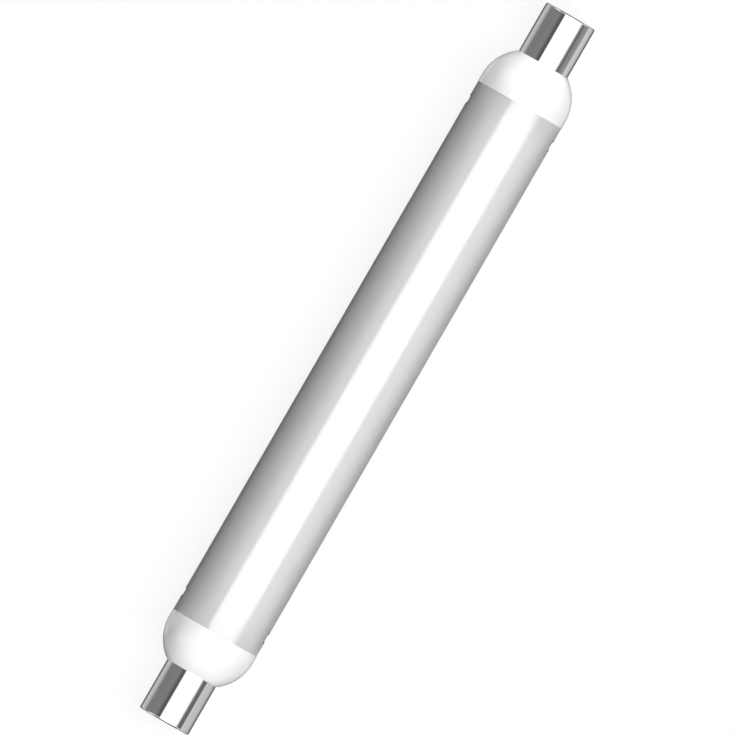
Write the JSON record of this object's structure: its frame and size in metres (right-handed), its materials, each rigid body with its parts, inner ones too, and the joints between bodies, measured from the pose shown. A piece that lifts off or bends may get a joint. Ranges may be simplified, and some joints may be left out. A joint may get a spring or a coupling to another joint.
{
  "type": "tubular light bulb",
  "caption": "Double-ended tubular LED lamp: frosted tube between two white domed ends with plain metal cap sleeves, holding an LED board and a driver on an aluminium carrier.",
  "frame": {"origin": "middle of the lamp on its axis", "axes": "+X along the lamp, +Z to the side that gives light, +Y across, through the latch windows"},
  "size_m": [0.221, 0.0262, 0.0262],
  "materials": {
    "frosted_tube": "satin, frosted",
    "dome_plastic": "glossy, moulded white",
    "cap_metal": "polished nickel plating",
    "solder": "bright, slightly dull",
    "carrier_aluminium": "mill finish, extruded",
    "tape": "matte",
    "white_board": "white solder mask",
    "led_frame": "glossy white",
    "phosphor": "matte silicone",
    "film": "glossy film",
    "green_board": "green solder mask on glass epoxy",
    "header_plastic": "matte black",
    "resistor_coat": "matte lacquer",
    "film_box": "glossy box",
    "can_aluminium": "drawn can",
    "bung_rubber": "matte",
    "ferrite": "sintered, dull",
    "copper_wire": "enamelled copper",
    "black_moulding": "moulded epoxy",
    "chip_ceramic": "glazed top",
    "tinned_wire": "tinned",
    "wire_insulation": "flexible insulation"
  },
  "bodies": {
    "root": {"diffuser_tube": "frosted_tube", "end_dome_left": "dome_plastic", "end_dome_right": "dome_plastic", "cap_shell_left": "cap_metal", "cap_shell_right": "cap_metal", "cap_solder_left": "solder", "cap_solder_right": "solder", "heat_sink": "carrier_aluminium", "thermal_tape": "tape", "led_board": "white_board", "led_bodies": "led_frame", "led_phosphors": "phosphor", "insulating_liner": "film", "driver_board": "green_board", "link_header": "header_plastic", "link_pins": "tinned_wire", "fuse_resistor": "resistor_coat", "film_capacitor": "film_box", "choke_core": "ferrite", "choke_winding": "copper_wire", "capacitor_can": "can_aluminium", "capacitor_bung": "bung_rubber", "bridge_rectifier": "black_moulding", "driver_chip": "black_moulding", "chip_resistors": "chip_ceramic", "component_leads": "tinned_wire", "board_solder": "solder", "lead_wire_left": "wire_insulation", "lead_wire_right": "wire_insulation", "lead_solder": "solder"}
  },
  "joints": []
}
